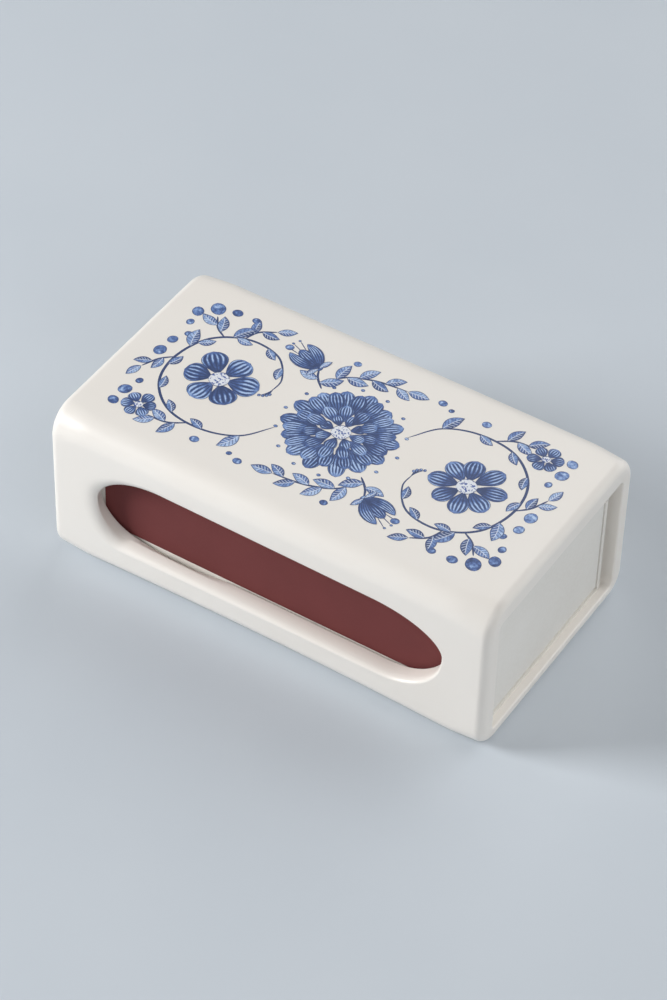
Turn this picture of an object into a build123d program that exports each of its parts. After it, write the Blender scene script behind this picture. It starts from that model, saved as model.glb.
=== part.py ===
from build123d import *
import math
import os

# A glazed stoneware sleeve that holds a kitchen matchbox.
# The sleeve is open at both ends, and a long round-ended slot in its front wall leaves the
# striking strip of the matchbox bare, so a match is struck without taking the box out.
# The matchbox is a folded card cover with a striking strip on each side, and a folded card
# tray that slides in it and holds layers of square-sticked matches.
# Lengths are in millimetres. +X runs along the sleeve to its right-hand end, -Y is the
# slotted front and +Z is up. The origin is at the middle of the underside.

# Matchbox, which everything else is made to fit
box_length = 118.0
box_width = 55.6
box_height = 35.5

# Room round the matchbox inside the sleeve
front_play = 0.7
back_play = 2.8
roof_play = 0.8
right_recess = 2.3
left_recess = 6.7

# Stoneware sleeve, cast thickest in its roof
side_wall = 5.2
roof_wall = 6.2
floor_wall = 4.0
top_edge_radius = 6.2
bottom_edge_radius = 4.7
inner_corner_radius = 1.5
rim_outer_radius = 2.4
rim_inner_bevel = 0.8

# Striking slot in the front wall
slot_end_margin = 12.5
slot_top_margin = 11.3
slot_bottom_margin = 12.0
slot_lip_radius = 2.0
slot_inner_bevel = 0.6

# Folded card of the cover and the tray
card = 0.6
fold_radius = 1.0
glue_flap_short = 4.0

# Striking strips printed on the sides of the cover
striker_thickness = 0.2
striker_end_margin = 6.0
striker_edge_margin = 7.25

# Tray, which runs in the cover
tray_side_play = 0.35
tray_top_play = 0.5
tray_end_recess = 0.3
end_wall_plies = 3
end_fold_radius = 0.8
inner_ply_short = 5.0
tab_share = 0.42

# Matches, which lie across the tray with all their heads at the back
stick_side = 2.3
head_side = 3.0
head_length = 5.0
head_tip = 0.6
head_taper = 0.7
match_gap = 0.3
layer_gap = 0.1
match_end_play = 0.8
layer_count = 5

# Overrun of every cut past the face that it opens
overrun = 1.0

# Sleeve sizes that follow
inner_width = front_play + box_width + back_play
inner_height = box_height + roof_play
holder_length = left_recess + box_length + right_recess
holder_width = inner_width + 2 * side_wall
holder_height = floor_wall + inner_height + roof_wall

# Place of the matchbox in the sleeve
box_x = (left_recess - right_recess) / 2
box_y = (front_play - back_play) / 2
box_floor = floor_wall

# Sizes and place of the tray in the cover, beside the glue flap on its back wall
tray_length = box_length - 2 * tray_end_recess
tray_width = box_width - 3 * card - 2 * tray_side_play
tray_height = box_height - 2 * card - tray_top_play
tray_y = box_y - card / 2
tray_floor = box_floor + card
end_wall = end_wall_plies * card

# Room for matches inside the tray
well_length = tray_length - 2 * end_wall
well_width = tray_width - 2 * card
match_length = well_width - 2 * match_end_play
match_pitch = head_side + match_gap
matches_per_layer = math.floor((well_length - match_gap) / match_pitch)
first_match_x = box_x - match_pitch * (matches_per_layer - 1) / 2
tail_y = tray_y - match_length / 2
head_cover = head_length - head_tip


def face_edges(part, position, direction, inner=False):
    """Edges round the outside, or round the opening, of the flat face of `part` at a place."""
    flat = part.faces().filter_by(direction)
    face = flat.sort_by(lambda f: (f.center() - position).length)[0]
    wires = face.inner_wires() if inner else [face.outer_wire()]
    return ShapeList(edge for wire in wires for edge in wire.edges())


def sleeve_section():
    """Cross-section of the sleeve: a soft-cornered oblong with the matchbox's room taken out."""
    outside = Rectangle(holder_width, holder_height)
    outside = fillet(outside.vertices().group_by(Axis.Y)[-1], top_edge_radius)
    outside = fillet(outside.vertices().group_by(Axis.Y)[0], bottom_edge_radius)
    inside = fillet(Rectangle(inner_width, inner_height).vertices(), inner_corner_radius)
    inside = Pos(0, floor_wall + inner_height / 2) * inside
    return Plane.YZ * (Pos(0, holder_height / 2) * outside - inside)


def holder_sleeve():
    """Slip-cast sleeve with a slot through its front wall: soft outside, fettled inside edges."""
    sleeve = extrude(sleeve_section(), holder_length / 2, both=True)
    for side in (-1, 1):
        rim = Vector(side * holder_length / 2, 0, holder_height / 2)
        sleeve = fillet(face_edges(sleeve, rim, Axis.X), rim_outer_radius)
        sleeve = chamfer(face_edges(sleeve, rim, Axis.X, inner=True), rim_inner_bevel)
    slot_length = holder_length - 2 * slot_end_margin
    slot_height = holder_height - slot_bottom_margin - slot_top_margin
    slot = SlotOverall(slot_length, slot_height)
    slot = Plane.XZ * Pos(0, slot_bottom_margin + slot_height / 2) * slot
    sleeve -= extrude(slot, holder_width / 2 + overrun)
    front = Vector(0, -holder_width / 2, holder_height / 2)
    sleeve = fillet(face_edges(sleeve, front, Axis.Y, inner=True), slot_lip_radius)
    back_of_front = front + Vector(0, side_wall, 0)
    return chamfer(face_edges(sleeve, back_of_front, Axis.Y, inner=True), slot_inner_bevel)


def matchbox_cover():
    """Card wrapped into a tube, its last flap glued inside the back wall."""
    outside = fillet(Rectangle(box_width, box_height).vertices(), fold_radius)
    inside = Rectangle(box_width - 2 * card, box_height - 2 * card)
    inside = fillet(inside.vertices(), fold_radius - card)
    flap_height = box_height - 2 * card - glue_flap_short
    flap_middle = Pos((box_width - 3 * card) / 2, -glue_flap_short / 2)
    section = outside - inside + flap_middle * Rectangle(card, flap_height)
    section = Plane.YZ * Pos(box_y, box_floor + box_height / 2) * section
    return Pos(box_x, 0, 0) * extrude(section, box_length / 2, both=True)


def striker(side):
    """Striking strip on the front (side -1) or the back (side 1) of the cover."""
    length = box_length - 2 * striker_end_margin
    height = box_height - 2 * striker_edge_margin
    offset = box_width / 2 + striker_thickness / 2
    place = Pos(box_x, box_y + side * offset, box_floor + box_height / 2)
    return place * Box(length, striker_thickness, height)


def matchbox_tray():
    """Open card tray. Each end is three plies: the end panel, a tab from either long side,
    and the top of the panel turned over and down inside, which stops short of the bottom."""
    low = (Align.CENTER, Align.CENTER, Align.MIN)
    tray = Box(tray_length, tray_width, tray_height, align=low)
    tray = fillet(tray.edges().group_by(Axis.Z)[0], fold_radius)
    well = Box(well_length, well_width, tray_height, align=low)
    tray -= Pos(0, 0, card) * well
    for side in (-1, 1):
        end = Vector(side * (tray_length - end_wall) / 2, 0, tray_height)
        across = tray.edges().filter_by(Axis.Y).group_by(Axis.Z)[-1]
        folds = across.filter_by(lambda e: abs(e.center().X - end.X) < end_wall)
        tray = fillet(folds, end_fold_radius)
        short = Box(card, well_width, inner_ply_short, align=low)
        tray -= Pos(side * (well_length + card) / 2, 0, card) * short
        between_tabs = Box(card, well_width * (1 - 2 * tab_share), tray_height - 2 * card, align=low)
        tray -= Pos(side * (well_length + 3 * card) / 2, 0, card) * between_tabs
    return Pos(box_x, tray_y, tray_floor) * tray


def match_stick():
    """Square stick along +Y, with the middle of its tail end at zero."""
    tail = (Align.CENTER, Align.MIN, Align.CENTER)
    return Box(stick_side, match_length - head_tip, stick_side, align=tail)


def match_head():
    """Dried head with a tapered tip, dipped over the end of the stick."""
    tail = (Align.CENTER, Align.MIN, Align.CENTER)
    head = Box(head_side, head_length, head_side, align=tail)
    head = chamfer(head.edges().group_by(Axis.Y)[-1], head_taper)
    head -= Box(stick_side, head_cover, stick_side, align=tail)
    return Pos(0, match_length - head_length, 0) * head


def match_layer(piece, layer):
    """One layer of `piece`: each rests on the thicker heads below, so upper layers lean more."""
    tail_height = (stick_side + layer_gap) * layer + stick_side / 2
    head_height = (head_side + layer_gap) * layer + head_side / 2
    lean = math.degrees(math.atan2(head_height - tail_height, match_length - head_length))
    height = tray_floor + card + tail_height
    row = [first_match_x + match_pitch * index for index in range(matches_per_layer)]
    return Compound(children=[Pos(x, tail_y, height) * Rot(lean, 0, 0) * piece for x in row])


nodes = {
    "holder_sleeve": holder_sleeve(),
    "matchbox_cover": matchbox_cover(),
    "front_striker": striker(-1),
    "back_striker": striker(1),
    "matchbox_tray": matchbox_tray(),
}
for layer in range(layer_count):
    nodes[f"match_sticks_layer_{layer + 1}"] = match_layer(match_stick(), layer)
    nodes[f"match_heads_layer_{layer + 1}"] = match_layer(match_head(), layer)

os.makedirs("parts", exist_ok=True)
for name, shape in nodes.items():
    export_step(shape, f"parts/{name}.step")

print(f"holder {holder_length:.1f} x {holder_width:.1f} x {holder_height:.1f} mm")
print(f"{matches_per_layer * layer_count} matches, {match_length:.1f} mm long")
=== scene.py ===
# %% [markdown]
# # A glazed matchbox holder with blue brushwork
# The object is a slip-cast stoneware sleeve over a kitchen matchbox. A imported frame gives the
# size and place of every part, in metres. This lesson dresses that frame: it models the soft
# cast body, brushes a cobalt blue scroll on its top, and gives card, striking compound, wood
# and match heads their finishes.

# %% Load the frame
import math
import random

import bmesh
import bpy
from mathutils import Matrix, Vector


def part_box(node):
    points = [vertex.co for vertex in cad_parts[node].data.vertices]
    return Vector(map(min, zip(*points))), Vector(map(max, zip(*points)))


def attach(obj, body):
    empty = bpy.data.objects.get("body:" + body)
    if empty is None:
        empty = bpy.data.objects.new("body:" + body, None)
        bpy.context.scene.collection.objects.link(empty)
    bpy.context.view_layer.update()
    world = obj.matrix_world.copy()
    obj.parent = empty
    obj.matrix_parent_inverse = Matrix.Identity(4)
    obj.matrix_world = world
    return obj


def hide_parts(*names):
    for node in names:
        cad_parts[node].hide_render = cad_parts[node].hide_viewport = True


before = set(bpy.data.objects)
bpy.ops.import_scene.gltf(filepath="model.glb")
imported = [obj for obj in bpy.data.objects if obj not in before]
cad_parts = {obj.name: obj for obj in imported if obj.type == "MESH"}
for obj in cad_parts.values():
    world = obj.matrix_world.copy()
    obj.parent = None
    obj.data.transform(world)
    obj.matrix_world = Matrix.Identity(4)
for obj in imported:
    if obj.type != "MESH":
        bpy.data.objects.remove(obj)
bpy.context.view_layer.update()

MM = 0.001
scene = bpy.context.scene
scene.view_settings.view_transform = "Standard"
print("nodes:", len(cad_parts))

# %% [markdown]
# ## Camera
# The photograph was taken from the right of the slotted front, looking down at about 45
# degrees with a long lens. The camera turns on a point near the middle of the holder, so its
# azimuth, elevation, roll and distance say everything.

# %% Camera
AZIMUTH = math.radians(31.40)
ELEVATION = math.radians(44.36)
ROLL = math.radians(1.80)
DISTANCE = 872.74 * MM
SIDE_STEP = -0.81 * MM
RISE = 16.52 * MM
FOCAL_LENGTH = 123.43
SENSOR = 36.0
NEAR_CLIP = 10 * MM


def camera_axes():
    """Right, up and back directions of the camera."""
    flat = math.cos(ELEVATION)
    back = Vector((math.sin(AZIMUTH) * flat, -math.cos(AZIMUTH) * flat, math.sin(ELEVATION)))
    level = Vector((math.cos(AZIMUTH), math.sin(AZIMUTH), 0))
    upright = back.cross(level)
    right = math.cos(ROLL) * level + math.sin(ROLL) * upright
    up = math.cos(ROLL) * upright - math.sin(ROLL) * level
    return right, up, back


def put_in_scene(name, data):
    """New object of a mesh, a light or a camera, linked to the scene."""
    made = bpy.data.objects.new(name, data)
    scene.collection.objects.link(made)
    return made


def make_camera():
    """Camera at the photograph's angle, with the long side of the image as its sensor."""
    right, up, back = camera_axes()
    data = bpy.data.cameras.new("camera")
    data.lens = FOCAL_LENGTH
    data.sensor_width = SENSOR
    data.clip_start = NEAR_CLIP
    data.dof.use_dof = False
    camera = put_in_scene("camera", data)
    turn = Matrix((right, up, back)).transposed().to_4x4()
    place = back * DISTANCE + right * SIDE_STEP + up * RISE
    camera.matrix_world = Matrix.Translation(place) @ turn
    scene.camera = camera


make_camera()
print("camera at", [round(v, 3) for v in scene.camera.matrix_world.translation])

# %% [markdown]
# ## Helpers for materials
# Colours are picked as sRGB hex values, the way a colour chart gives them, and one function
# turns them linear. A second function adds any node with its settings and links. It gives back
# the node's first output in use, and from that the node and its other outputs are reached. The
# rest are short ways to say what materials say often: a product, a soft step, a pattern of a
# real size, colours laid over one another, and a surface.

# %% Helpers for materials
def colour(hex_value):
    """Linear RGBA of an sRGB hex colour."""
    parts = [int(hex_value[i:i + 2], 16) / 255 for i in (1, 3, 5)]
    line = [c / 12.92 if c <= 0.04045 else ((c + 0.055) / 1.055) ** 2.4 for c in parts]
    return (*line, 1.0)


def add(tree, kind, links=(), **settings):
    """Adds a node. `links` has a socket or a value for inputs by name, or else in order."""
    made = tree.nodes.new(kind)
    for name, value in settings.items():
        setattr(made, name, value)
    in_use = {s.name: s for s in made.inputs if s.enabled}
    links = links if isinstance(links, dict) else dict(enumerate(links))
    for key, value in links.items():
        socket = in_use.get(key, made.inputs[key])
        if isinstance(value, bpy.types.NodeSocket):
            tree.links.new(value, socket)
        else:
            socket.default_value = value
    return next(s for s in made.outputs if s.enabled)


def new_material(name, **sockets):
    """A material with one Principled shader, and fixed values set on the shader's sockets.

    The place that it gives back is in metres in the part's own frame, as no piece is turned."""
    material = bpy.data.materials.new(name)
    material.use_nodes = True
    tree = material.node_tree
    shader = tree.nodes["Principled BSDF"]
    for key, value in sockets.items():
        shader.inputs[key].default_value = value
    place = add(tree, "ShaderNodeTexCoord").node.outputs["Object"]
    return material, tree, shader, place


def times(tree, first, *others):
    """Product of several values or sockets."""
    for value in others:
        first = add(tree, "ShaderNodeMath", (first, value), operation="MULTIPLY")
    return first


def fade(tree, value, start, end):
    """0 at `start`, 1 at `end` and smooth between, whichever of the two is the lower."""
    links = {"Value": value, "From Min": start, "From Max": end}
    return add(tree, "ShaderNodeMapRange", links, interpolation_type="SMOOTHSTEP")


def blotches(tree, place, size_mm, detail=3.0, roughness=0.5, stretch=None):
    """Random pattern from 0 to 1, about `size_mm` across, or stretched along an axis."""
    if stretch:
        place = add(tree, "ShaderNodeMapping", {"Vector": place, "Scale": stretch})
    links = {"Vector": place, "Scale": 1 / (size_mm * MM), "Detail": detail, "Roughness": roughness}
    return add(tree, "ShaderNodeTexNoise", links)


def coats(tree, base, *others):
    """A colour with others laid over it in turn, each a (share, colour) pair."""
    for share, tint in others:
        links = {"Factor": share, "A": base, "B": tint}
        base = add(tree, "ShaderNodeMix", links, data_type="RGBA")
    return base


def surface(tree, shader, tint, height=None, depth_mm=0.0):
    """Gives a shader its colour, and relief of `depth_mm` where `height` goes from 0 to 1."""
    tree.links.new(tint, shader.inputs["Base Color"])
    if height:
        links = {"Height": height, "Distance": depth_mm * MM, "Strength": 1.0}
        tree.links.new(add(tree, "ShaderNodeBump", links), shader.inputs["Normal"])


# %% [markdown]
# ## Floor and light
# A plain pale floor and three soft lights. The window is small and stands low on the left, so
# it rakes along the front and reaches into the slot, where the left lip shades the near end
# of the striking strip. A wide softbox behind lights the top, and a wide reflector in front
# fills the open right-hand end. Far off, where the lights don't reach, the camera sees the
# floor and the room in one plain pale colour. The gloss of the glaze shows that colour too,
# but only a trace of it lights the object, as the faint light of the room.

# %% Floor and light
FLOOR_HALF = 6000 * MM
FLOOR_PAINT, FLOOR_PAINT_PALER = "#C6CED6", "#CDD4DB"
FLOOR_DRIFT_SIZE = 60
FLOOR_ROUGHNESS = 0.7
LIGHT_DISTANCE = 1000 * MM
LIGHTS = (
    ("window", 211, 25, 380 * MM, 9.8),
    ("back softbox", 70, 34, 1300 * MM, 8.3),
    ("front reflector", 324, 32, 900 * MM, 4.0),
)
ROOM_LEVEL = 0.02
BACKDROP = "#C4CCD4"
BACKDROP_START, BACKDROP_END = 500 * MM, 1300 * MM


def mesh_of(name, points, faces, edges=()):
    """New mesh of points, faces and loose edges."""
    mesh = bpy.data.meshes.new(name)
    mesh.from_pydata(points, edges, faces)
    return mesh


def seen_directly(tree):
    """1 for rays from the camera, or that it sees in a gloss or through glass, and otherwise 0."""
    rays = add(tree, "ShaderNodeLightPath").node.outputs
    seen = rays["Is Camera Ray"]
    for kind in ("Is Glossy Ray", "Is Transmission Ray"):
        seen = add(tree, "ShaderNodeMath", (seen, rays[kind]), operation="MAXIMUM")
    return seen


def make_floor():
    """Pale painted board, much larger than the view; matt paint gives it no clear reflection."""
    corners = [(-1, -1), (1, -1), (1, 1), (-1, 1)]
    points = [(x * FLOOR_HALF, y * FLOOR_HALF, 0) for x, y in corners]
    mesh = mesh_of("floor", points, [(0, 1, 2, 3)])
    floor = put_in_scene("floor", mesh)
    material, tree, shader, place = new_material("painted board", Roughness=FLOOR_ROUGHNESS)
    drift = blotches(tree, place, FLOOR_DRIFT_SIZE)
    surface(tree, shader, coats(tree, colour(FLOOR_PAINT), (drift, colour(FLOOR_PAINT_PALER))))
    away = add(tree, "ShaderNodeVectorMath", (place,), operation="LENGTH")
    share = times(tree, fade(tree, away, BACKDROP_START, BACKDROP_END), seen_directly(tree))
    plain = add(tree, "ShaderNodeEmission", {"Color": colour(BACKDROP)})
    mixed = add(tree, "ShaderNodeMixShader", (share, shader.outputs[0], plain))
    tree.links.new(mixed, tree.nodes["Material Output"].inputs["Surface"])
    mesh.materials.append(material)


def make_light(name, azimuth, elevation, size, power):
    """Soft square light at a bearing in degrees, aimed at the holder."""
    azimuth, elevation = math.radians(azimuth), math.radians(elevation)
    flat = math.cos(elevation)
    towards = Vector((math.cos(azimuth) * flat, math.sin(azimuth) * flat, math.sin(elevation)))
    data = bpy.data.lights.new(name, "AREA")
    data.size = size
    data.energy = power
    light = put_in_scene(name, data)
    light.location = towards * LIGHT_DISTANCE
    light.rotation_euler = towards.to_track_quat("Z", "Y").to_euler()


def make_room():
    """Faint even light from all round, which the camera and the gloss see as the backdrop."""
    world = bpy.data.worlds.new("room")
    world.use_nodes = True
    tree = world.node_tree
    background = tree.nodes["Background"]
    background.inputs["Color"].default_value = colour(BACKDROP)
    parts = (seen_directly(tree), 1 - ROOM_LEVEL, ROOM_LEVEL)
    level = add(tree, "ShaderNodeMath", parts, operation="MULTIPLY_ADD")
    tree.links.new(level, background.inputs["Strength"])
    scene.world = world


make_floor()
for settings in LIGHTS:
    make_light(*settings)
make_room()
print("lights:", len(LIGHTS))

# %% [markdown]
# ## The sleeve
# Real sleeves are cast: liquid clay fills a plaster mould, and the skin that dries against the
# plaster keeps soft corners and a slight sag. A box with bevels looks too crisp, so the body is
# a grid that goes round the section one way and along the wall, over the rim and back through
# the inside the other way. The slot is then cut with a flared cutter, whose flare leaves the
# rolled lip.

# %% Sizes of the sleeve
LOW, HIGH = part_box("holder_sleeve")
LENGTH = HIGH.x - LOW.x
WIDTH = HIGH.y - LOW.y
HEIGHT = HIGH.z - LOW.z
FLOOR_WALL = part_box("matchbox_cover")[0].z
SIDE_WALL = 5.2 * MM
ROOF_WALL = 6.2 * MM
INNER_WIDTH = WIDTH - 2 * SIDE_WALL
INNER_HEIGHT = HEIGHT - FLOOR_WALL - ROOF_WALL
TOP_RADIUS = 6.2 * MM
BOTTOM_RADIUS = 4.7 * MM
INNER_RADIUS = 1.5 * MM
RIM_ROUND = 2.4 * MM
INNER_RIM_ROUND = 0.5 * MM
END_SOFTENING = 1.8 * MM
SOFT_END_SHARE = 0.82
FACE_SAG = 0.25 * MM
FOOT_SAG = 0.77 * MM
FOOT_SAG_RISE = 13 * MM
FOOT_SAG_DEPTH = 20 * MM
print("sleeve", round(LENGTH / MM, 1), round(WIDTH / MM, 1), round(HEIGHT / MM, 1))

# %% Section loops and the path along the wall
CORNER_STEPS = 10
WIDE_STEPS = 30
TALL_STEPS = 20
LONG_STEPS = 64
RIM_STEPS = 8


def smooth(share):
    """Smooth step from 0 to 1."""
    share = min(max(share, 0.0), 1.0)
    return share * share * (3 - 2 * share)


def section_loop(width, height, top_radius, bottom_radius, rise):
    """Points of a rounded oblong standing at `rise`, anticlockwise, as (y, z)."""
    corners = [
        (width / 2 - bottom_radius, bottom_radius, bottom_radius, -90, TALL_STEPS),
        (width / 2 - top_radius, height - top_radius, top_radius, 0, WIDE_STEPS),
        (top_radius - width / 2, height - top_radius, top_radius, 90, TALL_STEPS),
        (bottom_radius - width / 2, bottom_radius, bottom_radius, 180, WIDE_STEPS),
    ]
    arcs = []
    for y, z, radius, start, _ in corners:
        angles = [math.radians(start + 90 * i / CORNER_STEPS) for i in range(CORNER_STEPS + 1)]
        arc = [(y + radius * math.cos(a), rise + z + radius * math.sin(a)) for a in angles]
        arcs.append([Vector(p) for p in arc])
    points = []
    for i, arc in enumerate(arcs):
        steps = corners[i][4]
        ahead = arcs[(i + 1) % 4][0]
        points += arc + [arc[-1].lerp(ahead, j / steps) for j in range(1, steps)]
    return points


def outer_loop(x, inset):
    """Loop on the outside, drawn in by `inset`; its corners grow softer toward the ends."""
    soft = END_SOFTENING * smooth((abs(2 * x / LENGTH) - SOFT_END_SHARE) / (1 - SOFT_END_SHARE))
    radii = (TOP_RADIUS + soft - inset, BOTTOM_RADIUS + soft - inset)
    return section_loop(WIDTH - 2 * inset, HEIGHT - 2 * inset, *radii, inset)


def inner_loop(outset):
    """Loop on the inside, let out by `outset`."""
    radius = INNER_RADIUS + outset
    width, height = INNER_WIDTH + 2 * outset, INNER_HEIGHT + 2 * outset
    return section_loop(width, height, radius, radius, FLOOR_WALL - outset)


def wall_loops():
    """(x, sag share, loop) all the way along the outside, round the rims and back inside."""
    half = LENGTH / 2
    angles = [math.radians(90 * i / RIM_STEPS) for i in range(RIM_STEPS + 1)]
    outer_end, inner_end = half - RIM_ROUND, half - INNER_RIM_ROUND
    right = []
    for a in angles:
        x, inset = outer_end + RIM_ROUND * math.sin(a), RIM_ROUND * (1 - math.cos(a))
        right.append((x, 1 - inset / SIDE_WALL, outer_loop(x, inset)))
    for a in angles:
        x, outset = inner_end + INNER_RIM_ROUND * math.cos(a), INNER_RIM_ROUND * (1 - math.sin(a))
        right.append((x, 0.0, inner_loop(outset)))
    left = [(-x, share, loop) for x, share, loop in reversed(right)]
    spread = [2 * i / LONG_STEPS - 1 for i in range(1, LONG_STEPS)]
    inside = [(-inner_end * t, 0.0, inner_loop(0.0)) for t in spread]
    outside = [(outer_end * t, 1.0, outer_loop(outer_end * t, 0.0)) for t in spread]
    return right + inside + left + outside


def cast_sag(x, y, z):
    """How the drying clay has drawn in: a little on broad faces, most at the front foot.

    The top counts above mid-height, and the sides in the outer quarters of the width."""
    along = 1 - (2 * x / LENGTH) ** 2
    top = smooth(2 * z / HEIGHT - 1) * math.cos(math.pi * y / WIDTH) ** 2
    side = smooth(abs(2 * y) / WIDTH * 4 - 3) * math.sin(math.pi * min(max(z / HEIGHT, 0), 1)) ** 2
    foot = smooth(1 - z / FOOT_SAG_RISE) * smooth(1 - (y + WIDTH / 2) / FOOT_SAG_DEPTH) * FOOT_SAG
    return Vector((0, foot - math.copysign(side, y) * FACE_SAG, foot - top * FACE_SAG)) * along


def ring_faces(count, around, closed=False):
    """Faces between rings of points; the last ring joins the first, or both have a cap."""
    last = (count - 1) * around
    faces = [] if closed else [tuple(range(around)), tuple(range(last, last + around))[::-1]]
    for i in range(count if closed else count - 1):
        here, ahead = i * around, (i + 1) % count * around
        for j in range(around):
            k = (j + 1) % around
            faces.append((here + j, ahead + j, ahead + k, here + k))
    return faces


def closed_object(name, points, faces):
    """Object of a closed mesh, with its faces turned outward."""
    mesh = mesh_of(name, points, faces)
    made = bmesh.new()
    made.from_mesh(mesh)
    bmesh.ops.recalc_face_normals(made, faces=made.faces)
    made.to_mesh(mesh)
    made.free()
    return put_in_scene(name, mesh)


def sleeve_body():
    """The cast tube before its slot is cut."""
    loops = wall_loops()
    points = [Vector((x, y, z)) + cast_sag(x, y, z) * share
              for x, share, loop in loops for y, z in loop]
    faces = ring_faces(len(loops), len(loops[0][2]), closed=True)
    return closed_object("cast_sleeve", points, faces)


body = sleeve_body()
print("sleeve grid:", len(body.data.polygons), "faces")

# %% [markdown]
# ## The slot
# The slot is cut while the clay is leather hard and its edge is rolled with a wet sponge. The
# cutter is a stack of rings: each ring is as much larger as the roll of the lip leaves at its
# depth, so that one cut makes the hole and its lip. The rings follow the sag of the front. The
# ends were trimmed by eye, so each of their quarters has a sweep of its own. The roll is broad
# and shallow at the left tip, where the wall is cut under as well, and narrow at the right tip.
# Behind, the knife has pared a little too much off the lower edge on the left, where the white
# card shows.

# %% Cut the slot
SLOT_TOP = HEIGHT - 11.9 * MM
SLOT_BOTTOM = 11.5 * MM
RIGHT_END = {
    "tip": 50.6 * MM, "tip_height": 25.9 * MM, "bottom_sweep": 16.6 * MM, "top_sweep": 19.0 * MM,
    "undercut": 0.0, "tip_lip": Vector((0.9, 1.7)) * MM, "long_lip": Vector((1.2, 2.8)) * MM,
}
LEFT_END = {
    "tip": -50.0 * MM, "tip_height": 23.6 * MM, "bottom_sweep": 8.4 * MM, "top_sweep": 21.5 * MM,
    "undercut": 1.6 * MM, "tip_lip": Vector((4.0, 1.3)) * MM, "long_lip": Vector((2.0, 3.8)) * MM,
}
SLOT_INNER_BEVEL = 0.4 * MM
UNDERCUT_SWEEP = 2.8
PARING_DEPTH = 1.7 * MM
PARING_START, PARING_END = -44 * MM, -10 * MM
QUARTER_STEPS = 18
STRAIGHT_STEPS = 36
LIP_STEPS = 12
LIP_STOP = math.radians(87)
LIP_OVERRUN = 0.15 * MM
OVERRUN = 1.0 * MM
BROAD_FACE_WEIGHT = 100


def lip_profile(lip):
    """(growth, depth, 0 at the lip to 1 inside) of the slot, from just outside the front inward."""
    spread, depth = lip
    angles = [LIP_STOP * (1 - i / LIP_STEPS) for i in range(LIP_STEPS + 1)]
    roll = [(spread * (1 - math.cos(a)), depth * (1 - math.sin(a)), 0) for a in angles]
    flare = spread / depth * math.tan(LIP_STOP)
    outside = (roll[0][0] + (LIP_OVERRUN + roll[0][1]) * flare, -LIP_OVERRUN, 0)
    bevel = SLOT_INNER_BEVEL
    inside = [(0, SIDE_WALL - bevel, 1), (bevel + OVERRUN, SIDE_WALL + OVERRUN, 1)]
    return [outside] + roll + inside


def quarter_sweep(end, edge, stop, level):
    """Quarter of an ellipse from the tip of an end to the straight edge at height `stop`."""
    side, tip_height, sweep = math.copysign(1, end["tip"]), end["tip_height"], end[edge + "_sweep"]
    points = []
    for i in range(QUARTER_STEPS + 1):
        a = math.radians(90 * i / QUARTER_STEPS)
        grow, depth, inward = lip_profile(end["long_lip"].lerp(end["tip_lip"], math.cos(a)))[level]
        rise = stop + math.copysign(grow, stop - tip_height) - tip_height
        undercut = inward * end["undercut"]
        longer = sweep + undercut * UNDERCUT_SWEEP
        reach = undercut - longer + (longer + grow) * math.cos(a)
        x, z = end["tip"] + side * reach, tip_height + rise * math.sin(a)
        points.append(Vector((x, depth - WIDTH / 2, z)))
    return points


def slot_ring(level):
    """One ring of the cutter, which follows the sag of the front."""
    quarters = {(name, edge): quarter_sweep(end, edge, stop, level)
                for name, end in (("right", RIGHT_END), ("left", LEFT_END))
                for edge, stop in (("bottom", SLOT_BOTTOM), ("top", SLOT_TOP))}
    right = quarters["right", "bottom"][::-1] + quarters["right", "top"][1:]
    left = quarters["left", "top"][::-1] + quarters["left", "bottom"][1:]
    steps = [i / STRAIGHT_STEPS for i in range(1, STRAIGHT_STEPS)]
    ring = right + [right[-1].lerp(left[0], t) for t in steps]
    ring += left + [left[-1].lerp(right[0], t) for t in steps]
    inward = lip_profile(LEFT_END["long_lip"])[level][2]
    for p in ring:
        share = (p.x - PARING_START) / (PARING_END - PARING_START)
        if p.z < LEFT_END["tip_height"] and 0 < share < 1:
            p.z -= inward * PARING_DEPTH * math.sin(math.pi * share) ** 2
        inset = max(p.y + WIDTH / 2, 0) / SIDE_WALL
        p += cast_sag(p.x, -WIDTH / 2, p.z) * max(1 - inset, 0)
    return ring


def slot_cutter():
    """Closed flared solid that cuts the slot and leaves its lip."""
    levels = len(lip_profile(LEFT_END["long_lip"]))
    rings = [slot_ring(level) for level in range(levels)]
    points = [p for ring in rings for p in ring]
    return closed_object("slot_cutter", points, ring_faces(levels, len(rings[0])))


def apply_modifiers(piece):
    """Works all modifiers into the mesh and removes them."""
    depsgraph = bpy.context.evaluated_depsgraph_get()
    baked = piece.evaluated_get(depsgraph)
    mesh = bpy.data.meshes.new_from_object(baked, depsgraph=depsgraph)
    piece.modifiers.clear()
    piece.data = mesh


def cut_slot(body):
    """Cuts the slot and smooths the shading, broad faces first."""
    cutter = slot_cutter()
    cut = body.modifiers.new("slot", "BOOLEAN")
    cut.operation = "DIFFERENCE"
    cut.solver = "EXACT"
    cut.object = cutter
    apply_modifiers(body)
    bpy.data.objects.remove(cutter)
    for face in body.data.polygons:
        face.use_smooth = True
    even = body.modifiers.new("even shading", "WEIGHTED_NORMAL")
    even.weight = BROAD_FACE_WEIGHT
    apply_modifiers(body)


cut_slot(body)
print("sleeve with slot:", len(body.data.polygons), "faces")

# %% [markdown]
# ## Glaze
# The body wears a warm white satin glaze. A glaze is glass: its IOR is about 1.5, and it pools
# a little, so its colour drifts by a shade over a few centimetres and its surface has a faint
# orange-peel ripple. The underside was wiped clean before firing, so bare clay shows there.

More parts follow.
